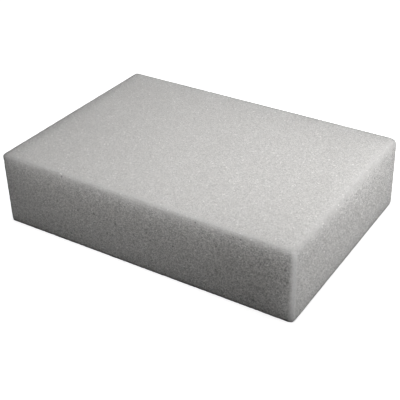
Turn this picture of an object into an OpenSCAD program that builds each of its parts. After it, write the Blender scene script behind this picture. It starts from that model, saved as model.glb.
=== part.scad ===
// Foam block: one piece of open-cell foam, cut square from a thicker slab.
//
// Six flat cuts meet in soft edges, because the cells along an edge have nothing behind
// them and give way. The block is the shape that a ball of the edge radius fills when its
// centre is moved through a smaller block, built from true surfaces: three crossing slabs
// give the flat faces, a quarter of a rod rounds each edge and an eighth of a ball closes
// each corner. Cut down like that, rods and balls meet the slabs and each other face to
// face, and so they join cleanly at any size.
//
// The origin is the middle of the underside. +X runs along the length, +Y along the width
// and +Z up through the thickness. Every size is in millimetres.

/* [Block] */
// Length of the block, along X
block_length = 216; // [60:1:600]
// Width of the block, along Y
block_width = 152; // [40:1:400]
// Thickness of the block, along Z
block_thickness = 51; // [15:1:150]

/* [Edges] */
// Radius of the soft edges and corners
edge_radius = 2.5; // [0.5:0.1:6]

/* [Hidden] */
$fn = 96;

block_size = [block_length, block_width, block_thickness];
foam_colour = [0.79, 0.79, 0.78];

// The smaller block that the centres of the rods and balls stand on
centre_size = block_size - 2 * edge_radius * [1, 1, 1];

// Turns that lay the Z axis along X, Y or Z
along = [[0, 90, 0], [-90, 0, 0], [0, 0, 0]];

// One slab of the three: its two flat faces look along the given axis
module slab(axis) {
    full = [for (i = [0:2]) i == axis ? block_size[i] : centre_size[i]];
    cube(full, center = true);
}

// What lies outwards of a point on the smaller block, on the given side in X, Y and Z, and
// both ways along an axis whose side is 0
module outwards(side) {
    reach = 2 * edge_radius;
    size = [for (i = [0:2]) side[i] == 0 ? centre_size[i] : reach];
    translate(side * reach / 2)
        cube(size, center = true);
}

// The outer quarters of rods along the four edges that run with the given axis
module edge_rods(axis) {
    across = (axis + 1) % 3;
    up = (axis + 2) % 3;
    for (a = [-1, 1], b = [-1, 1]) {
        side = [for (i = [0:2]) i == across ? a : i == up ? b : 0];
        place = [for (i = [0:2]) side[i] * centre_size[i] / 2];
        translate(place)
            intersection() {
                rotate(along[axis])
                    cylinder(h = centre_size[axis], r = edge_radius, center = true);
                outwards(side);
            }
    }
}

// The outer eighths of balls at the eight corners
module corner_balls() {
    for (x = [-1, 1], y = [-1, 1], z = [-1, 1])
        translate([x * centre_size.x, y * centre_size.y, z * centre_size.z] / 2)
            intersection() {
                sphere(r = edge_radius);
                outwards([x, y, z]);
            }
}

module foam_block() {
    color(foam_colour)
        translate([0, 0, block_thickness / 2])
            union() {
                for (axis = [0:2]) {
                    slab(axis);
                    edge_rods(axis);
                }
                corner_balls();
            }
}

foam_block();
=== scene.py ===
# %% [markdown]
# A block of light grey open-cell foam, sawn square from a slab, lies on a pale floor.
# A saw opens every cell that it passes through. What is left is a skin of small hollows
# with thin walls between them, and that skin is what makes foam look like foam. So the
# block is modelled as that skin: one mesh in which every cell is a hollow of its own.

# %% Load the packed model
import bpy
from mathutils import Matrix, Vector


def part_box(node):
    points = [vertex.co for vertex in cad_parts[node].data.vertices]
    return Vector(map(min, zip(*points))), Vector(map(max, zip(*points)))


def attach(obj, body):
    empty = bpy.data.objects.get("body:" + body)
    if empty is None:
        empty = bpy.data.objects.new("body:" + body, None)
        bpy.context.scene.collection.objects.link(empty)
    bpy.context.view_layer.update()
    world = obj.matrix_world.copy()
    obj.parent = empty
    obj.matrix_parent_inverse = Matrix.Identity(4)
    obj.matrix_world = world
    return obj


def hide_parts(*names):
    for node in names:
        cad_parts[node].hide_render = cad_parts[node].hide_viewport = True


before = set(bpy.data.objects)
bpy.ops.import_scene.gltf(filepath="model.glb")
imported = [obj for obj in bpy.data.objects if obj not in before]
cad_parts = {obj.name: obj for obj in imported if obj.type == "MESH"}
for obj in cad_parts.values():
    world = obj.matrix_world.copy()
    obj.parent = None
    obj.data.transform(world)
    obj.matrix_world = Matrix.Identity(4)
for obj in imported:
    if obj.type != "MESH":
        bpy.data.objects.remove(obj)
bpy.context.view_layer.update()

# %% [markdown]
# Blender works in metres, and this block is easier to think of in millimetres, so lengths
# are written as a number times MM, and places that are closer than TINY count as the same.
# Numpy handles a hundred thousand points at once, and its random numbers start from a fixed
# seed, so that every run makes the same block.

# %% Libraries and units
import math

import bpy
import numpy as np
from mathutils import Matrix, Vector
from mathutils.geometry import delaunay_2d_cdt

MM = 0.001
TINY = 0.001 * MM
SEED = 20
chance = np.random.default_rng(SEED)
print("one millimetre is", MM, "m, and the random numbers start from seed", SEED)

# %% [markdown]
# The CAD solid says how large the block is and how soft its edges are. Its top face is
# flat up to the place where the edge starts to turn over, so the difference between
# the flat part and the full half size is the radius of the edge.

# %% Read the block's size and edge radius from the frame
low, high = (np.array(corner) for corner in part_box("foam_block"))
middle = (low + high) / 2
half = (high - low) / 2
cad_mesh = bpy.data.objects["foam_block"].data
flat_reach = max(v.co.x for v in cad_mesh.vertices if v.co.z > high[2] - TINY)
radius = half[0] - (flat_reach - middle[0])
print("half size in mm", (half / MM).round(2), "edge radius", round(radius / MM, 2))

# %% [markdown]
# A skin of cells has to run round the edges without a seam. One way is to think of the
# skin peeled off the block and pulled over a slightly smaller box with sharp edges: each
# soft edge is a quarter circle, and half of its arc belongs to the face on either side.
# On that unrolled box every cell can be placed in plain flat coordinates. This function
# then wraps a point of the unrolled box back round the block, and returns the outward
# direction there too.

# %% Wrap the unrolled box round the block
flat = half - radius
reach = flat + radius * math.pi / 4


def wrap(unrolled):
    """Points on the unrolled box, as points on the block and the outward directions there."""
    core = np.clip(unrolled, -flat, flat)
    lean = np.tan((unrolled - core) / radius)
    outward = lean / np.linalg.norm(lean, axis=1, keepdims=True)
    return core + radius * outward, outward


print("the unrolled box in mm", (2 * reach / MM).round(2))

# %% [markdown]
# Foam cells are about as large as each other, but never in rows. A triangular lattice in
# which every point is pushed about at random looks like that, and unlike free random
# points it never leaves a gap. The cells on the edges of the unrolled box come first,
# because two faces share them: one at each corner, and a row along each edge.

# %% Place the cells along the edges
CELL = 1.75 * MM
WANDER = 0.30


def rim_centres(axis):
    """Centres along the four edges of the unrolled box that run with this axis."""
    count = round(2 * reach[axis] / CELL)
    places = []
    for a in (-1, 1):
        for b in (-1, 1):
            steps = np.arange(1, count) + chance.uniform(-WANDER, WANDER, count - 1)
            places.append(np.zeros((count - 1, 3)))
            places[-1][:, axis] = (2 * steps / count - 1) * reach[axis]
            places[-1][:, axis - 1] = a * reach[axis - 1]
            places[-1][:, axis - 2] = b * reach[axis - 2]
    return np.concatenate(places)


box_corners = np.array([(x, y, z) for x in (-1, 1) for y in (-1, 1) for z in (-1, 1)]) * reach
centres = [box_corners] + [rim_centres(axis) for axis in range(3)]
print(sum(len(group) for group in centres), "cells on the edges")

# %% [markdown]
# Each face then gets a lattice of its own, which keeps clear of the rim. Its rows are
# closer together than its columns, and every other row starts half a cell further on. A
# face is named by its two directions, across and up, whose cross product points out of the
# block. The underside is seldom seen, so its cells are larger.

# %% Scatter the cells over the faces
UNDERSIDE_CELL = 2.3 * MM
RIM_CLEARANCE = 0.8
ROW_STEP = math.sqrt(3) / 2
FACES = {
    "top": ((1, 0, 0), (0, 1, 0)),
    "underside": ((1, 0, 0), (0, -1, 0)),
    "front": ((1, 0, 0), (0, 0, 1)),
    "back": ((-1, 0, 0), (0, 0, 1)),
    "right": ((0, 1, 0), (0, 0, 1)),
    "left": ((0, -1, 0), (0, 0, 1)),
}


def face_centres(across, up, cell):
    """Centres over a face of this half width and half height, clear of its rim."""
    across, up = across - RIM_CLEARANCE * cell, up - RIM_CLEARANCE * cell
    rows = round(2 * up / (cell * ROW_STEP)) + 1
    columns = round(2 * across / cell)
    row, column = np.divmod(np.arange(rows * columns), columns)
    x = ((column + 0.25 + 0.5 * (row % 2)) / columns * 2 - 1) * across
    y = (row / (rows - 1) * 2 - 1) * up
    spot = np.stack([x, y], 1)
    return spot + chance.uniform(-WANDER, WANDER, spot.shape) * cell


for name, (u, v) in FACES.items():
    u, v = np.array(u), np.array(v)
    outward = np.cross(u, v)
    cell = UNDERSIDE_CELL if name == "underside" else CELL
    spot = face_centres(reach @ abs(u), reach @ abs(v), cell)
    centres.append(spot[:, :1] * u + spot[:, 1:] * v + outward * (reach @ abs(outward)))
centres = np.concatenate(centres)
print(len(centres), "cells in all")

# %% [markdown]
# Soap bubbles and foam cells meet in threes. Joining each centre to its neighbours gives a
# net of triangles, and the middle of every triangle is a place where three cells meet.
# Blender's own Delaunay function makes the net for one flat face at a time, and because
# the faces share the centres on their rims, the six nets close into one.

# %% Join neighbouring centres into a closed net
net = []
net_face = []
for number, (u, v) in enumerate(FACES.values()):
    outward = np.cross(u, v)
    members = np.flatnonzero(np.isclose(centres @ outward, reach @ abs(outward)))
    spot = np.stack([centres[members] @ u, centres[members] @ v], 1)
    found = delaunay_2d_cdt([Vector(p) for p in spot], [], [], 0, TINY, False)
    assert len(found[0]) == len(members)
    net.append(members[np.array(found[2])])
    net_face.append(np.full(len(found[2]), number))
net = np.concatenate(net)
net_face = np.concatenate(net_face)
print(len(net), "places where three cells meet")

# %% [markdown]
# Now the skin itself. Each cell becomes a fan of triangles: its walls join the meeting
# places round it, and its floor is one point in the middle that is pushed into the block.
# A wall between two cells is the edge that two triangles of the net share, and each such
# edge is found twice, once from either side.

# %% Build the cells' walls and floors
meeting, meeting_out = wrap(centres[net].mean(axis=1))
start = net.ravel()
end = np.roll(net, -1, axis=1).ravel()
this_side = np.repeat(np.arange(len(net)), 3)
order = np.argsort(end * len(centres) + start)
keys = (end * len(centres) + start)[order]
other_side = this_side[order[np.searchsorted(keys, start * len(centres) + end)]]
fans = np.stack([start, len(centres) + other_side, len(centres) + this_side], 1)


def mean_round_cell(values):
    """The mean of what the meeting places round each cell have."""
    total = np.zeros((len(centres), values.shape[1]))
    np.add.at(total, start, values[this_side])
    return total / np.bincount(start)[:, None]


floors = mean_round_cell(meeting)
floors_out = mean_round_cell(meeting_out)
floors_out /= np.linalg.norm(floors_out, axis=1, keepdims=True)
print(len(fans), "triangles")

# %% [markdown]
# Most hollows are shallow bowls, and no two are as deep. A few blowholes go much deeper:
# they are bubbles that ran together while the foam rose. The upright sides cut along the
# rise of the foam and open some of them, while the top and the underside, where a cell
# faces nearly straight up or down, show none.

# %% Choose how deep each cell is
SHALLOW = 0.24 * MM
DEPTH_SPREAD = 0.35
BLOWHOLE = 1.1 * MM
BLOWHOLE_RANGE = (0.8, 1.3)
BLOWN_SHARE = 0.007
LEVEL = 0.9

level_face = np.abs(floors_out[:, 2]) > LEVEL
cell_depth = SHALLOW * np.exp(chance.normal(0, DEPTH_SPREAD, len(centres)))
blown = chance.random(len(centres)) < np.where(level_face, 0.0, BLOWN_SHARE)
cell_depth[blown] = BLOWHOLE * chance.uniform(*BLOWHOLE_RANGE, blown.sum())
print(blown.sum(), "blowholes, mean depth", (cell_depth.mean() / MM).round(2), "mm")

# %% [markdown]
# A band saw wanders a little, and it tears some walls lower than others. All that goes
# inwards, so that the block keeps its size: every floor is pushed in by the depth of its
# cell, every meeting place by a random dip, and both by the slow wave of the saw. The wave
# is a sum of three ripples of unlike lengths, so that it doesn't repeat on the block.

# %% Push the floors and the walls inwards
WALL_DIP = 0.06 * MM
SAW_WAVE = 0.08 * MM


def saw_wave(place):
    """The slow unevenness that a band saw leaves, from 0 to SAW_WAVE deep."""
    x, y, z = (place / MM).T
    ripples = [np.sin(x / 17 + y / 41), np.sin(y / 13 - z / 9 + 1), np.sin(z / 11 + x / 23 + 2)]
    return SAW_WAVE * (sum(ripples) + len(ripples)) / (2 * len(ripples))


wall_dip = WALL_DIP * chance.random(len(meeting))
floors = floors - floors_out * (cell_depth + saw_wave(floors))[:, None]
meeting = meeting - meeting_out * (wall_dip + saw_wave(meeting))[:, None]
squared = np.concatenate([floors, meeting])
outward = np.concatenate([floors_out, meeting_out])
print("the skin's half size in mm", (abs(squared).max(axis=0) / MM).round(2))

# %% [markdown]
# Foam edges are pressed by hands and by whatever leans on them, and no edge is quite as
# round as the next. An edge is named by its side in x, y and z, with a 0 for the
# direction that it runs in. One function measures how far every point of the skin is from
# the middle of such an edge, and another turns that distance into a share that fades from
# 1 to 0. Both serve again in the colour: for the smoother grain on worn edges, for the
# painted highlight and for the painted shade along the edges.

# %% Press the rounder edges in
PRESSED = {(1, 0, 1): 0.5, (1, 1, 0): 0.4, (0, 1, 1): 0.2, (1, -1, 0): 0.3}
PRESS_REACH = 5 * MM


def from_edge(edge):
    """How far each point is from the middle of a soft edge."""
    edge = np.array(edge)
    away = (squared - edge * (flat + radius * math.sqrt(0.5))) * abs(edge)
    return np.linalg.norm(away, axis=1)


def fading(distance, full_to, gone_at):
    """1 out to one distance, and from there evenly down to 0 at the other."""
    return np.clip(1 - (distance - full_to) / (gone_at - full_to), 0, 1)


press = np.zeros(len(squared))
for edge, deep in PRESSED.items():
    nearness = fading(from_edge(edge), 0, PRESS_REACH)
    press += deep * MM * nearness**2 * (3 - 2 * nearness)
places = squared - outward * press[:, None]
print("pressed in by up to", (press.max() / MM).round(2), "mm")

# %% [markdown]
# No block that is sawn from a slab is quite square. Here each corner that stands off true
# is named by its side in x, y and z, with how far it has drifted in millimetres. Every
# point of the skin follows the corners, and the nearer a corner is, the more it counts.

# %% Let the corners drift off true
DRIFT = {
    (-1, -1, 1): (-0.4, 0.5, 1.2),
    (-1, 1, 1): (0.2, 0.4, 0.4),
    (1, 1, 1): (-0.7, -0.1, 0.2),
    (-1, -1, -1): (0.7, -0.6, 0.0),
}
drift = np.zeros_like(places)
for corner, move in DRIFT.items():
    nearness = np.prod((1 + places / half * corner) / 2, axis=1)
    drift += nearness[:, None] * np.array(move) * MM
places = places + drift
print("largest drift", (np.linalg.norm(drift, axis=1).max() / MM).round(2), "mm")

# %% [markdown]
# The mesh is shaded smooth inside each cell, so that it looks like a bowl, but the crest
# of each wall is marked sharp, because two bowls meet there at an angle.

# %% Make the mesh
mesh = bpy.data.meshes.new("foam")
mesh.from_pydata((places + middle).tolist(), [], fans.tolist())
mesh.shade_smooth()
ends = np.empty(2 * len(mesh.edges), int)
mesh.edges.foreach_get("vertices", ends)
crests = (ends.reshape(-1, 2) >= len(centres)).all(axis=1)
mesh.edges.foreach_set("use_edge_sharp", crests)
block = bpy.data.objects.new("foam_skin", mesh)
bpy.context.collection.objects.link(block)
print(len(mesh.vertices), "points,", len(mesh.polygons), "triangles,", crests.sum(), "sharp crests")

# %% [markdown]
# The material has to know what it is colouring, so the mesh carries a few numbers: how
# high up its wall a point is, how deep its cell is in millimetres, and how strong the grain
# and the painted glints are there. Grain and painted glints have one strength for each
# direction that a face can look in: x for the ends, y for the front and back, z for the top
# and underside. The grain is stronger on the sides, where the saw cut along the rise of the
# foam, a little stronger towards the right, and weak on the three edges that hands have worn
# smooth. The painted glints are strongest on the two ends.

# %% Give the mesh the numbers of its cells
GRAIN = np.array([1.7, 1.9, 0.95])
GRAIN_GAIN = 0.15
PAINTED_GLINTS = np.array([1.9, 0.9, 1.0])
SMOOTH = [(0, -1, 1), (1, 0, 1), (1, -1, 0)]
SMOOTH_FADE = (1.28 * MM, 4.48 * MM)
SMOOTHED_AWAY = 0.6


def store(name, domain, values):
    """Keeps one number for each point or triangle of the mesh, for the material to read."""
    layer = mesh.attributes.new(name, "FLOAT", domain)
    layer.data.foreach_set("value", values.astype(np.float32))
    print(name, "on each", domain.lower(), "from", values.min().round(3), "to", values.max().round(3))


nearest = np.min([from_edge(edge) for edge in SMOOTH], axis=0)
smooth = fading(nearest, *SMOOTH_FADE)
store("wall", "POINT", np.repeat([0.0, 1.0], [len(centres), len(meeting)]))
store("depth", "FACE", cell_depth[start] / MM)
gain = 1 + GRAIN_GAIN * squared[:, 0] / half[0]
store("grain", "POINT", (outward**2 @ GRAIN) * gain * (1 - SMOOTHED_AWAY * smooth))
# Painted glints: the panes are painted paler, most of all on the ends.
store("painted_glints", "POINT", outward**2 @ PAINTED_GLINTS)

# %% [markdown]
# Light and shade are painted along the edges. The near upright edge gets a painted
# highlight, a pale line down its middle, and most of the others get a painted dark line of
# shade, above all the two near edges that the block stands on. Each edge has its share of
# that painted shade, which is darkest at the middle of the edge and soon ends on the flat.

# %% Give the mesh the numbers of its painted highlight and shade
PAINTED_HIGHLIGHT_EDGE = (1, -1, 0)
PAINTED_HIGHLIGHT_FADE = (0.72 * MM, 3.12 * MM)
EDGE_SHADE_FADE = (0.44 * MM, 2.64 * MM)
EDGE_SHADE_SHARES = {
    (-1, 0, 1): 0.65,
    (0, 1, 1): 0.60,
    (1, 0, 1): 0.08,
    (-1, -1, 0): 0.50,
    (-1, 1, 0): 0.25,
    (1, 1, 0): 0.45,
    (-1, 0, -1): 0.40,
    (1, 0, -1): 0.85,
    (0, -1, -1): 0.78,
    (0, 1, -1): 0.40,
}
# Painted shade: a dark line along most edges, darkest along the two near bottom edges.
edge_shade = [share * fading(from_edge(edge), *EDGE_SHADE_FADE) for edge, share in EDGE_SHADE_SHARES.items()]
store("painted_edge_shade", "POINT", np.max(edge_shade, axis=0))
# Painted highlight: a pale line down the near upright edge.
store("painted_highlight", "POINT", fading(from_edge(PAINTED_HIGHLIGHT_EDGE), *PAINTED_HIGHLIGHT_FADE))

# %% [markdown]
# A material can be baked into a picture for other programs, and that needs a flat map of
# the surface. The unrolled box is such a map already: its six faces are laid out on one
# square sheet, side by side with a margin between them. Each triangle is measured on the
# face that its own meeting place lies on, also where it runs over an edge.

# %% Lay the six faces out on one sheet
MARGIN = 4 * MM
wide, deep, tall = 2 * reach
SHEET = wide + deep + 3 * MARGIN
LAYOUT = {
    "top": (MARGIN, MARGIN, False),
    "underside": (MARGIN, deep + 2 * MARGIN, False),
    "front": (MARGIN, 2 * deep + 3 * MARGIN, False),
    "back": (wide + 2 * MARGIN, MARGIN, True),
    "right": (wide + 2 * MARGIN, wide + 2 * MARGIN, True),
    "left": (wide + tall + 3 * MARGIN, MARGIN, True),
}


def unrolled_along(axis, outward, place):
    """How far along an axis a point of the block lies once its face is unrolled, from 0."""
    axis, outward = np.array(axis), np.array(outward)
    core = np.clip(place @ axis, -flat @ abs(axis), flat @ abs(axis))
    turned = np.arctan2(place @ axis - core, place @ outward - flat @ abs(outward))
    return core + radius * np.clip(turned, -math.pi / 2, math.pi / 2) + reach @ abs(axis)


sheet_spot = np.zeros((len(fans), 3, 2))
for number, (name, (u, v)) in enumerate(FACES.items()):
    left_edge, low_edge, is_turned = LAYOUT[name]
    chosen = net_face[this_side] == number
    fan_places = squared[fans[chosen]]
    spot = np.stack([unrolled_along(axis, np.cross(u, v), fan_places) for axis in (u, v)], axis=2)
    spot = spot[:, :, ::-1] if is_turned else spot
    sheet_spot[chosen] = spot + (left_edge, low_edge)
sheet = mesh.uv_layers.new(name="OFBake")
sheet.uv.foreach_set("vector", (sheet_spot / SHEET).astype(np.float32).ravel())
filled = np.array([sheet_spot.min(), sheet_spot.max()]) / SHEET
print("the sheet is", round(SHEET / MM), "mm square and filled from", filled.round(3))

# %% [markdown]
# Materials are nodes joined by links. A sum such as 1 - 0.3 * depth takes two nodes and
# three links, which is hard to read back. This class wraps the end of a link, so that
# Python's own + - * add those nodes, and any other node takes one call. A pattern is such
# a node too: it is fixed to the block, and its size is given in metres.

# %% Shader sums as Python expressions


class Wire:
    """A socket of a material's nodes that can be used in Python sums."""

    def __init__(self, tree, socket=None):
        self.tree = tree
        self.socket = socket

    def node(self, kind, settings=None, inputs=None, output=0):
        """Adds a node: first its settings, then the values or links of its sockets."""
        made = self.tree.nodes.new(kind)
        for name, value in (settings or {}).items():
            setattr(made, name, value)
        for name, value in (inputs or {}).items():
            if isinstance(value, Wire):
                self.tree.links.new(value.socket, made.inputs[name])
            else:
                made.inputs[name].default_value = value
        return Wire(self.tree, made.outputs[output])

    def maths(self, operation, *values):
        """Adds a Math node that works out one operation on these values."""
        return self.node("ShaderNodeMath", {"operation": operation}, dict(enumerate(values)))

    def __add__(self, other):
        return self.maths("ADD", self, other)

    def __sub__(self, other):
        return self.maths("SUBTRACT", self, other)

    def __rsub__(self, other):
        return self.maths("SUBTRACT", other, self)

    def __mul__(self, other):
        return self.maths("MULTIPLY", self, other)

    __radd__ = __add__
    __rmul__ = __mul__

    def eased(self, low, high):
        """0 up to low, 1 from high on, and a soft rise between them."""
        span = {"Value": self, "From Min": low, "From Max": high}
        return self.node("ShaderNodeMapRange", {"interpolation_type": "SMOOTHSTEP"}, span)

    def number_of_mesh(self, name):
        """A number that the mesh carries."""
        return self.node("ShaderNodeAttribute", {"attribute_name": name}, None, "Fac")

    def pattern(self, kind, size, settings=None, output=0):
        """A texture that is fixed to the block, with cells or clouds of this size."""
        place = self.node("ShaderNodeTexCoord", output="Object")
        return self.node(kind, settings, {"Vector": place, "Scale": 1 / size}, output)


print("a wire can do", [name for name in vars(Wire) if not name.startswith("__")])

# %% [markdown]
# Every material starts empty and ends in an output node. The room has such a tree of nodes
# as well, with an output of its own kind, so the second helper serves there too.

# %% Start and end a material


def start_material(name):
    """A new material with no nodes yet."""
    material = bpy.data.materials.new(name)
    material.use_nodes = True
    material.node_tree.nodes.clear()
    return material, Wire(material.node_tree)


def end_tree(shader, kind="ShaderNodeOutputMaterial"):
    """Links a finished shader to the output of its tree."""
    output = shader.tree.nodes.new(kind)
    shader.tree.links.new(shader.socket, output.inputs["Surface"])
    print(kind, "after", len(shader.tree.nodes) - 1, "nodes")


print("a material ends in ShaderNodeOutputMaterial, and the room in ShaderNodeOutputWorld")

# %% [markdown]
# Real foam cells are smaller than the cells of the mesh, which a light model has to keep
# few. A Voronoi pattern fixed to the block stands in for those: it splits space into cells,
# gives each a random colour, and knows how far a point is from the cell's edge. These two
# helpers read that distance, and one channel of the colour as a random number.

# %% Voronoi cells
FINE_CELL = 0.5 * MM
PANE = 0.8 * MM


def edge_gap(pen, size):
    """How far a point is from the edge of its cell, 0 on the edge itself."""
    return pen.pattern("ShaderNodeTexVoronoi", size, {"feature": "DISTANCE_TO_EDGE"}, "Distance")


def draw_for_cell(pen, size, channel):
    """A random number from 0 to 1 that is the same all over a cell."""
    colour = pen.pattern("ShaderNodeTexVoronoi", size, {"feature": "F1"}, "Color")
    return pen.node("ShaderNodeSeparateColor", None, {"Color": colour}, channel)


print("fine cells", round(FINE_CELL / MM, 2), "mm, panes", round(PANE / MM, 2), "mm")

# %% [markdown]
# The colour is one light grey times a shade. Fine cells differ in tone, and their middles
# are painted darker than the strands round them, as painted shade in the pores. Painted
# shade also makes the hollows a little darker and the blowholes much darker. Here and there
# the saw left a pane of thin skin standing, which is glossier and is painted paler as a
# painted glint. Soft clouds shift the tone a little and make the painted edge shade patchy.
# The shade has a ceiling, because a surface can't give back more light than it gets. Depths
# are in millimetres here.

# %% Shade of the foam
PALEST = 1.6
CLOUD = 12 * MM
CLOUD_SHOWS = 0.03
CLOUD_SHOWS_IN_EDGE_SHADE = 1.2
TONE_SHOWS = 0.42
STRAND_AND_PORE_SHADE_SHOWS = 0.08
HOLLOW_SHADE_SHOWS = 0.03
BLOWHOLE_SHADE_SHOWS = 0.45
PAINTED_GLINT_SHOWS = 0.45
PAINTED_HIGHLIGHT_SHOWS = 0.60
STRAND_GAPS = (0.02, 0.16)
HOLLOW_SHADE_DEPTHS = (0.0, 0.9)
BLOWHOLE_SHADE_DEPTHS = (0.8, 1.0)
UPPER_WALL = (0.5, 1.0)


def foam_shade(pen, gap, pane_and_painted_glint):
    """How much paler or darker than the plain foam each place is."""
    wall = pen.number_of_mesh("wall")
    depth = pen.number_of_mesh("depth")
    cloud = pen.pattern("ShaderNodeTexNoise", CLOUD, None, "Fac") - 0.5
    tone = draw_for_cell(pen, FINE_CELL, "Red") - 0.5
    # Painted shade in the pores: the middles of the fine cells are darker than their strands.
    strand_and_pore_shade = 0.5 - gap.eased(*STRAND_GAPS)
    # Painted shade in the hollows of the mesh cells, deeper ones darker.
    painted_hollow_shade = ((1 - wall) * depth).eased(*HOLLOW_SHADE_DEPTHS)
    # Painted shade in the blowholes, darkest at their floors.
    painted_blowhole_shade = (1 - wall.eased(*UPPER_WALL)) * depth.eased(*BLOWHOLE_SHADE_DEPTHS)
    # Painted shade along the edges, made patchy by the clouds.
    edge_shade = pen.number_of_mesh("painted_edge_shade") * (1 + CLOUD_SHOWS_IN_EDGE_SHADE * cloud)
    speckle = TONE_SHOWS * tone + STRAND_AND_PORE_SHADE_SHOWS * strand_and_pore_shade - HOLLOW_SHADE_SHOWS * painted_hollow_shade
    # Painted light: glints on the panes and a highlight on the near upright edge.
    painted_light = PAINTED_GLINT_SHOWS * pane_and_painted_glint * pen.number_of_mesh("painted_glints") + PAINTED_HIGHLIGHT_SHOWS * pen.number_of_mesh("painted_highlight")
    shade = 1 + CLOUD_SHOWS * cloud + pen.number_of_mesh("grain") * speckle + painted_light
    shade = shade * (1 - BLOWHOLE_SHADE_SHOWS * painted_blowhole_shade) * (1 - edge_shade)
    return pen.maths("MINIMUM", shade, PALEST)


print("the palest foam is", PALEST, "times the plain grey")

# %% [markdown]
# Foam is full of light: it enters on a bright side, wanders between the cell walls for
# centimetres, and comes out round the corner on a dark side. Subsurface scattering with a
# long scale does that, and it is what makes the edges look soft. The surface itself is
# matt, so it has little gloss except on the panes, and the fine cells slope it too. A pane
# stands in the few cells that draw a number near 1.

# %% Foam material
FOAM_GREY = (0.602, 0.591, 0.578)
LIGHT_WANDERS = 50 * MM
FINE_DEPTH = 0.35 * MM
PANE_DRAWS = (0.980, 0.988)
ROUGH_FOAM = 0.60
ROUGH_PANE = 0.25


def foam_finish():
    """Light grey foam."""
    material, pen = start_material("light_grey_foam")
    gap = edge_gap(pen, FINE_CELL)
    # The panes are glossier, and the same mask paints their glints paler in foam_shade.
    pane_and_painted_glint = draw_for_cell(pen, PANE, "Green").eased(*PANE_DRAWS)
    tint = {"Vector": FOAM_GREY, "Scale": foam_shade(pen, gap, pane_and_painted_glint)}
    slope = {"Strength": 1.0, "Distance": FINE_DEPTH, "Height": 1 - gap}
    end_tree(pen.node("ShaderNodeBsdfPrincipled", None, {
        "Base Color": pen.node("ShaderNodeVectorMath", {"operation": "SCALE"}, tint),
        "Roughness": ROUGH_FOAM - (ROUGH_FOAM - ROUGH_PANE) * pane_and_painted_glint,
        "Specular IOR Level": 0.2,
        "Subsurface Weight": 0.8,
        "Subsurface Radius": (1, 1, 1),
        "Subsurface Scale": LIGHT_WANDERS,
        "Normal": pen.node("ShaderNodeBump", None, slope),
    }))
    return material


mesh.materials.append(foam_finish())

# %% [markdown]
# The block lies on a wide plain floor. Blender can treat a ray that the camera sends out
# apart from the light that bounces about, and this helper says which is which. What the
# camera sees in a reflection or through glass counts as seen.

# %% Lay the floor and tell what is seen
FLOOR_HALF = 6.0
floor_mesh = bpy.data.meshes.new("floor")
floor_corners = [(x * FLOOR_HALF, y * FLOOR_HALF, low[2]) for x, y in ((-1, -1), (1, -1), (1, 1), (-1, 1))]
floor_mesh.from_pydata(floor_corners, [], [(0, 1, 2, 3)])
floor = bpy.data.objects.new("floor", floor_mesh)
bpy.context.collection.objects.link(floor)


def seen_share(pen):
    """1 for what the camera sees, also in a reflection or through glass, and 0 for other light."""
    camera_ray = pen.node("ShaderNodeLightPath", output="Is Camera Ray")
    glossy_ray = pen.node("ShaderNodeLightPath", output="Is Glossy Ray")
    glass_ray = pen.node("ShaderNodeLightPath", output="Is Transmission Ray")
    return pen.maths("MAXIMUM", camera_ray, pen.maths("MAXIMUM", glossy_ray, glass_ray))


print("the floor is", 2 * FLOOR_HALF, "m wide, at a height of", round(low[2], 4), "m")

# %% [markdown]
# The camera sees a white floor with the block's soft shadow on it. Much of its white is a
# glow of its own, so that it melts into the white behind it. For the light that bounces
# back up at the block it is a dark grey table instead, or the block's sides would have no
# shade.

# %% Floor material
TABLE_GREY = (0.10, 0.10, 0.10, 1)
FLOOR_WHITE = (0.9, 0.9, 0.9, 1)
FLOOR_GLOW = 0.8


def floor_finish():
    """A floor that is white to the camera and dark grey to the light."""
    material, pen = start_material("pale_floor")
    table = pen.node("ShaderNodeBsdfDiffuse", None, {"Color": TABLE_GREY})
    white = pen.node("ShaderNodeBsdfDiffuse", None, {"Color": FLOOR_WHITE})
    glow = pen.node("ShaderNodeEmission", None, {"Strength": FLOOR_GLOW})
    sweep = pen.node("ShaderNodeAddShader", None, {0: white, 1: glow})
    end_tree(pen.node("ShaderNodeMixShader", None, {"Fac": seen_share(pen), 1: table, 2: sweep}))
    return material


floor_mesh.materials.append(floor_finish())

# %% [markdown]
# The room round the floor is white to the camera and in reflections, which on foam are
# faint, and it sends no other light. So nearly all the light on the block comes from the
# lamps, which can be set one by one.

# %% Room
room = bpy.data.worlds.new("white_room")
room.use_nodes = True
room.node_tree.nodes.clear()
bpy.context.scene.world = room
pen = Wire(room.node_tree)
end_tree(pen.node("ShaderNodeBackground", None, {"Strength": seen_share(pen)}), "ShaderNodeOutputWorld")

# %% [markdown]
# Round softboxes stand about the block, and each has one thing to do. The strongest lights
# the right end from far off, so evenly. One over the back and one overhead shade the top
# from left to right. Two near ones are a little raised, so that the front and the right end
# are brighter above than below, and the last one keeps the back and the left end from going
# black.

# %% Softboxes


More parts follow.
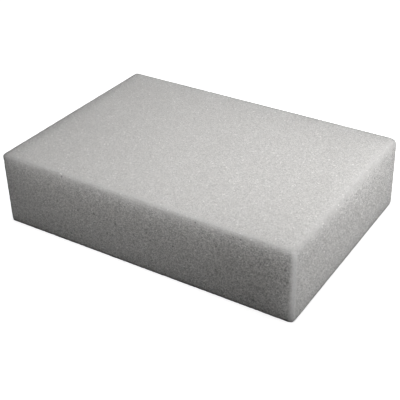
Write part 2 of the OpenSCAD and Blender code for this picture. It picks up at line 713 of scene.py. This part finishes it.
def softbox(name, turn, rise, away, size, watts):
    """A round softbox that faces the block, turned from +X towards +Y and raised, in degrees."""
    lamp = bpy.data.lights.new(name, "AREA")
    lamp.shape = "DISK"
    lamp.size = size
    lamp.energy = watts
    turn, rise = math.radians(turn), math.radians(rise)
    towards = Vector((math.cos(turn) * math.cos(rise), math.sin(turn) * math.cos(rise), math.sin(rise)))
    stand = bpy.data.objects.new(name, lamp)
    stand.location = Vector(middle) + away * towards
    stand.rotation_euler = towards.to_track_quat("Z", "Y").to_euler()
    bpy.context.collection.objects.link(stand)
    print(name, [round(x, 3) for x in stand.location], watts, "W")


softbox("right", turn=9, rise=5, away=1.20, size=0.20, watts=5.0)
softbox("over the back", turn=95, rise=60, away=0.45, size=0.20, watts=0.81)
softbox("overhead", turn=-20, rise=70, away=0.234, size=0.12, watts=0.217)
softbox("front", turn=-98, rise=30, away=0.34, size=0.12, watts=0.245)
softbox("near the right end", turn=15, rise=25, away=0.24, size=0.12, watts=0.095)
softbox("back", turn=150, rise=20, away=0.80, size=0.32, watts=0.47)

# %% [markdown]
# The camera looks down on the corner between the front and the right end, through a long
# lens from near by. Its place is worked out from the point that it looks at: how far it is
# turned round that point, how high it is raised and how far away it stands. It is also
# rolled a little, as a camera held in the hand is. The turns are in degrees, the distances
# in metres, and the lens and its sensor in millimetres.

# %% Camera
TURN, RISE, ROLL = 32.82, 32.44, -1.36
AIM = Vector((0.0118, -0.0222, 0.0255))
AWAY = 0.5801
LENS = 79.96
SENSOR_WIDTH = 36

turn, rise = math.radians(TURN), math.radians(RISE)
back = Vector((math.sin(turn) * math.cos(rise), -math.cos(turn) * math.cos(rise), math.sin(rise)))
facing = back.to_track_quat("Z", "Y").to_matrix() @ Matrix.Rotation(math.radians(ROLL), 3, "Z")
camera = bpy.data.objects.new("camera", bpy.data.cameras.new("camera"))
camera.data.lens = LENS
camera.data.sensor_width = SENSOR_WIDTH
camera.matrix_world = Matrix.Translation(AIM + AWAY * back) @ facing.to_4x4()
bpy.context.collection.objects.link(camera)
bpy.context.scene.camera = camera
bpy.context.scene.view_settings.view_transform = "Standard"
print("the camera stands at", [round(x, 3) for x in AIM + AWAY * back])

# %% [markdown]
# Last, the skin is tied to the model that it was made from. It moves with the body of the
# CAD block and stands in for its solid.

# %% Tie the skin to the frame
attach(block, "root")
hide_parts("foam_block")
print(block.name, "stands for foam_block")

# %% [markdown]
# The picture may not be larger than the thing.
